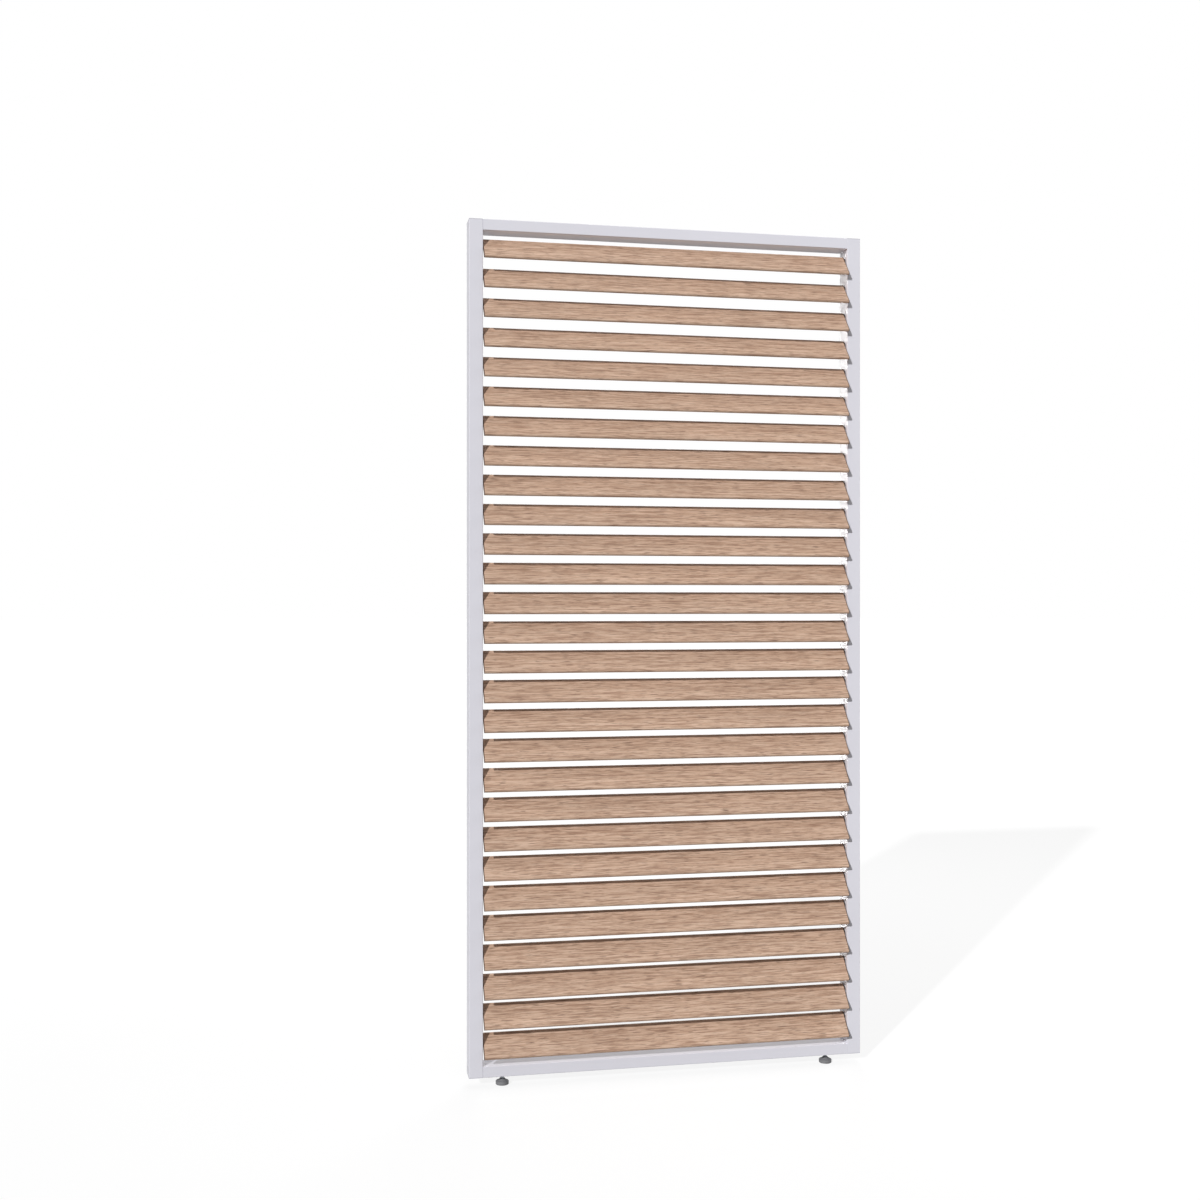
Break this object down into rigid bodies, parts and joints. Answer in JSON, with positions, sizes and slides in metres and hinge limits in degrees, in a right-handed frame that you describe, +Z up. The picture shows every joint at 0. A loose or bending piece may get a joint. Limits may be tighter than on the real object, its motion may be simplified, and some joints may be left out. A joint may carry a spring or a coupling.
{
  "type": "slatted screen",
  "caption": "Tall outdoor screen: a slim tube frame with wood-toned slats that tilt together on a hidden link bar, on two levelling feet.",
  "frame": {"origin": "on the floor, midway between the sides, below the axes that the slats turn on", "axes": "+Z up, +X to the right as seen from the front, +Y towards the back"},
  "size_m": [1, 0.0719, 2.106],
  "materials": {
    "frame_coat": "powder coat, fine matt texture",
    "slat_decor": "wood-grain decor coat, satin",
    "cap_plastic": "moulded, matt",
    "bush_nylon": "moulded nylon",
    "cast_block": "cast, raw",
    "link_metal": "mill finish",
    "screw_steel": "zinc plated",
    "insert_steel": "zinc plated",
    "foot_plastic": "moulded, matt"
  },
  "bodies": {
    "frame": {"left_stile": "frame_coat", "right_stile": "frame_coat", "top_rail": "frame_coat", "bottom_rail": "frame_coat", "top_left_stile_cap": "cap_plastic", "top_left_corner_block": "cast_block", "top_right_stile_cap": "cap_plastic", "top_right_corner_block": "cast_block", "bottom_left_stile_cap": "cap_plastic", "bottom_left_corner_block": "cast_block", "bottom_right_stile_cap": "cap_plastic", "bottom_right_corner_block": "cast_block", "screw_hole_plugs": "cap_plastic", "frame_screws": "screw_steel", "left_pivot_bushes": "bush_nylon", "left_foot_insert": "insert_steel", "left_foot_lock_nut": "screw_steel", "right_pivot_bushes": "bush_nylon", "right_foot_insert": "insert_steel", "right_foot_lock_nut": "screw_steel"},
    "slat_01": {"slat_01": "slat_decor"},
    "slat_02": {"slat_02": "slat_decor"},
    "slat_03": {"slat_03": "slat_decor"},
    "slat_04": {"slat_04": "slat_decor"},
    "slat_05": {"slat_05": "slat_decor"},
    "slat_06": {"slat_06": "slat_decor"},
    "slat_07": {"slat_07": "slat_decor"},
    "slat_08": {"slat_08": "slat_decor"},
    "slat_09": {"slat_09": "slat_decor"},
    "slat_10": {"slat_10": "slat_decor"},
    "slat_11": {"slat_11": "slat_decor"},
    "slat_12": {"slat_12": "slat_decor"},
    "slat_13": {"slat_13": "slat_decor"},
    "slat_14": {"slat_14": "slat_decor"},
    "slat_15": {"slat_15": "slat_decor"},
    "slat_16": {"slat_16": "slat_decor"},
    "slat_17": {"slat_17": "slat_decor"},
    "slat_18": {"slat_18": "slat_decor"},
    "slat_19": {"slat_19": "slat_decor"},
    "slat_20": {"slat_20": "slat_decor"},
    "slat_21": {"slat_21": "slat_decor"},
    "slat_22": {"slat_22": "slat_decor"},
    "slat_23": {"slat_23": "slat_decor"},
    "slat_24": {"slat_24": "slat_decor"},
    "slat_25": {"slat_25": "slat_decor"},
    "slat_26": {"slat_26": "slat_decor"},
    "slat_27": {"slat_27": "slat_decor"},
    "slat_28": {"slat_28": "slat_decor"},
    "link_bar": {"link_bar": "link_metal"},
    "left_foot": {"left_foot_stud": "screw_steel", "left_foot_pad": "foot_plastic"},
    "right_foot": {"right_foot_stud": "screw_steel", "right_foot_pad": "foot_plastic"}
  },
  "joints": [
    {"name": "slat_01_tilt", "type": "hinge", "parent": "frame", "child": "slat_01", "pos_m": [0, 0, 2.0504], "axis": [1, 0, 0], "range_deg": [-48, 42]},
    {"name": "slat_02_tilt", "type": "hinge", "parent": "frame", "child": "slat_02", "pos_m": [0, 0, 1.97872], "axis": [1, 0, 0], "range_deg": [-48, 42]},
    {"name": "slat_03_tilt", "type": "hinge", "parent": "frame", "child": "slat_03", "pos_m": [0, 0, 1.90704], "axis": [1, 0, 0], "range_deg": [-48, 42]},
    {"name": "slat_04_tilt", "type": "hinge", "parent": "frame", "child": "slat_04", "pos_m": [0, 0, 1.83536], "axis": [1, 0, 0], "range_deg": [-48, 42]},
    {"name": "slat_05_tilt", "type": "hinge", "parent": "frame", "child": "slat_05", "pos_m": [0, 0, 1.76367], "axis": [1, 0, 0], "range_deg": [-48, 42]},
    {"name": "slat_06_tilt", "type": "hinge", "parent": "frame", "child": "slat_06", "pos_m": [0, 0, 1.69199], "axis": [1, 0, 0], "range_deg": [-48, 42]},
    {"name": "slat_07_tilt", "type": "hinge", "parent": "frame", "child": "slat_07", "pos_m": [0, 0, 1.62031], "axis": [1, 0, 0], "range_deg": [-48, 42]},
    {"name": "slat_08_tilt", "type": "hinge", "parent": "frame", "child": "slat_08", "pos_m": [0, 0, 1.54863], "axis": [1, 0, 0], "range_deg": [-48, 42]},
    {"name": "slat_09_tilt", "type": "hinge", "parent": "frame", "child": "slat_09", "pos_m": [0, 0, 1.47695], "axis": [1, 0, 0], "range_deg": [-48, 42]},
    {"name": "slat_10_tilt", "type": "hinge", "parent": "frame", "child": "slat_10", "pos_m": [0, 0, 1.40527], "axis": [1, 0, 0], "range_deg": [-48, 42]},
    {"name": "slat_11_tilt", "type": "hinge", "parent": "frame", "child": "slat_11", "pos_m": [0, 0, 1.33359], "axis": [1, 0, 0], "range_deg": [-48, 42]},
    {"name": "slat_12_tilt", "type": "hinge", "parent": "frame", "child": "slat_12", "pos_m": [0, 0, 1.2619], "axis": [1, 0, 0], "range_deg": [-48, 42]},
    {"name": "slat_13_tilt", "type": "hinge", "parent": "frame", "child": "slat_13", "pos_m": [0, 0, 1.19022], "axis": [1, 0, 0], "range_deg": [-48, 42]},
    {"name": "slat_14_tilt", "type": "hinge", "parent": "frame", "child": "slat_14", "pos_m": [0, 0, 1.11854], "axis": [1, 0, 0], "range_deg": [-48, 42]},
    {"name": "slat_15_tilt", "type": "hinge", "parent": "frame", "child": "slat_15", "pos_m": [0, 0, 1.04686], "axis": [1, 0, 0], "range_deg": [-48, 42]},
    {"name": "slat_16_tilt", "type": "hinge", "parent": "frame", "child": "slat_16", "pos_m": [0, 0, 0.97518], "axis": [1, 0, 0], "range_deg": [-48, 42]},
    {"name": "slat_17_tilt", "type": "hinge", "parent": "frame", "child": "slat_17", "pos_m": [0, 0, 0.9035], "axis": [1, 0, 0], "range_deg": [-48, 42]},
    {"name": "slat_18_tilt", "type": "hinge", "parent": "frame", "child": "slat_18", "pos_m": [0, 0, 0.83181], "axis": [1, 0, 0], "range_deg": [-48, 42]},
    {"name": "slat_19_tilt", "type": "hinge", "parent": "frame", "child": "slat_19", "pos_m": [0, 0, 0.76013], "axis": [1, 0, 0], "range_deg": [-48, 42]},
    {"name": "slat_20_tilt", "type": "hinge", "parent": "frame", "child": "slat_20", "pos_m": [0, 0, 0.68845], "axis": [1, 0, 0], "range_deg": [-48, 42]},
    {"name": "slat_21_tilt", "type": "hinge", "parent": "frame", "child": "slat_21", "pos_m": [0, 0, 0.61677], "axis": [1, 0, 0], "range_deg": [-48, 42]},
    {"name": "slat_22_tilt", "type": "hinge", "parent": "frame", "child": "slat_22", "pos_m": [0, 0, 0.54509], "axis": [1, 0, 0], "range_deg": [-48, 42]},
    {"name": "slat_23_tilt", "type": "hinge", "parent": "frame", "child": "slat_23", "pos_m": [0, 0, 0.47341], "axis": [1, 0, 0], "range_deg": [-48, 42]},
    {"name": "slat_24_tilt", "type": "hinge", "parent": "frame", "child": "slat_24", "pos_m": [0, 0, 0.40173], "axis": [1, 0, 0], "range_deg": [-48, 42]},
    {"name": "slat_25_tilt", "type": "hinge", "parent": "frame", "child": "slat_25", "pos_m": [0, 0, 0.33004], "axis": [1, 0, 0], "range_deg": [-48, 42]},
    {"name": "slat_26_tilt", "type": "hinge", "parent": "frame", "child": "slat_26", "pos_m": [0, 0, 0.25836], "axis": [1, 0, 0], "range_deg": [-48, 42]},
    {"name": "slat_27_tilt", "type": "hinge", "parent": "frame", "child": "slat_27", "pos_m": [0, 0, 0.18668], "axis": [1, 0, 0], "range_deg": [-48, 42]},
    {"name": "slat_28_tilt", "type": "hinge", "parent": "frame", "child": "slat_28", "pos_m": [0, 0, 0.115], "axis": [1, 0, 0], "range_deg": [-48, 42]},
    {"name": "link_bar_swing", "type": "hinge", "parent": "slat_14", "child": "link_bar", "pos_m": [-0.4765, 0.016, 1.11854], "axis": [1, 0, 0], "range_deg": [-42, 48]},
    {"name": "left_foot_height", "type": "slide", "parent": "frame", "child": "left_foot", "axis": [0, 0, 1], "range_m": [-0.008, 0.004]},
    {"name": "right_foot_height", "type": "slide", "parent": "frame", "child": "right_foot", "axis": [0, 0, 1], "range_m": [-0.008, 0.004]}
  ],
  "couplings": [
    {"joint": "slat_01_tilt", "follows": "slat_14_tilt", "ratio": 1},
    {"joint": "slat_02_tilt", "follows": "slat_14_tilt", "ratio": 1},
    {"joint": "slat_03_tilt", "follows": "slat_14_tilt", "ratio": 1},
    {"joint": "slat_04_tilt", "follows": "slat_14_tilt", "ratio": 1},
    {"joint": "slat_05_tilt", "follows": "slat_14_tilt", "ratio": 1},
    {"joint": "slat_06_tilt", "follows": "slat_14_tilt", "ratio": 1},
    {"joint": "slat_07_tilt", "follows": "slat_14_tilt", "ratio": 1},
    {"joint": "slat_08_tilt", "follows": "slat_14_tilt", "ratio": 1},
    {"joint": "slat_09_tilt", "follows": "slat_14_tilt", "ratio": 1},
    {"joint": "slat_10_tilt", "follows": "slat_14_tilt", "ratio": 1},
    {"joint": "slat_11_tilt", "follows": "slat_14_tilt", "ratio": 1},
    {"joint": "slat_12_tilt", "follows": "slat_14_tilt", "ratio": 1},
    {"joint": "slat_13_tilt", "follows": "slat_14_tilt", "ratio": 1},
    {"joint": "slat_15_tilt", "follows": "slat_14_tilt", "ratio": 1},
    {"joint": "slat_16_tilt", "follows": "slat_14_tilt", "ratio": 1},
    {"joint": "slat_17_tilt", "follows": "slat_14_tilt", "ratio": 1},
    {"joint": "slat_18_tilt", "follows": "slat_14_tilt", "ratio": 1},
    {"joint": "slat_19_tilt", "follows": "slat_14_tilt", "ratio": 1},
    {"joint": "slat_20_tilt", "follows": "slat_14_tilt", "ratio": 1},
    {"joint": "slat_21_tilt", "follows": "slat_14_tilt", "ratio": 1},
    {"joint": "slat_22_tilt", "follows": "slat_14_tilt", "ratio": 1},
    {"joint": "slat_23_tilt", "follows": "slat_14_tilt", "ratio": 1},
    {"joint": "slat_24_tilt", "follows": "slat_14_tilt", "ratio": 1},
    {"joint": "slat_25_tilt", "follows": "slat_14_tilt", "ratio": 1},
    {"joint": "slat_26_tilt", "follows": "slat_14_tilt", "ratio": 1},
    {"joint": "slat_27_tilt", "follows": "slat_14_tilt", "ratio": 1},
    {"joint": "slat_28_tilt", "follows": "slat_14_tilt", "ratio": 1},
    {"joint": "link_bar_swing", "follows": "slat_14_tilt", "ratio": -1}
  ]
}
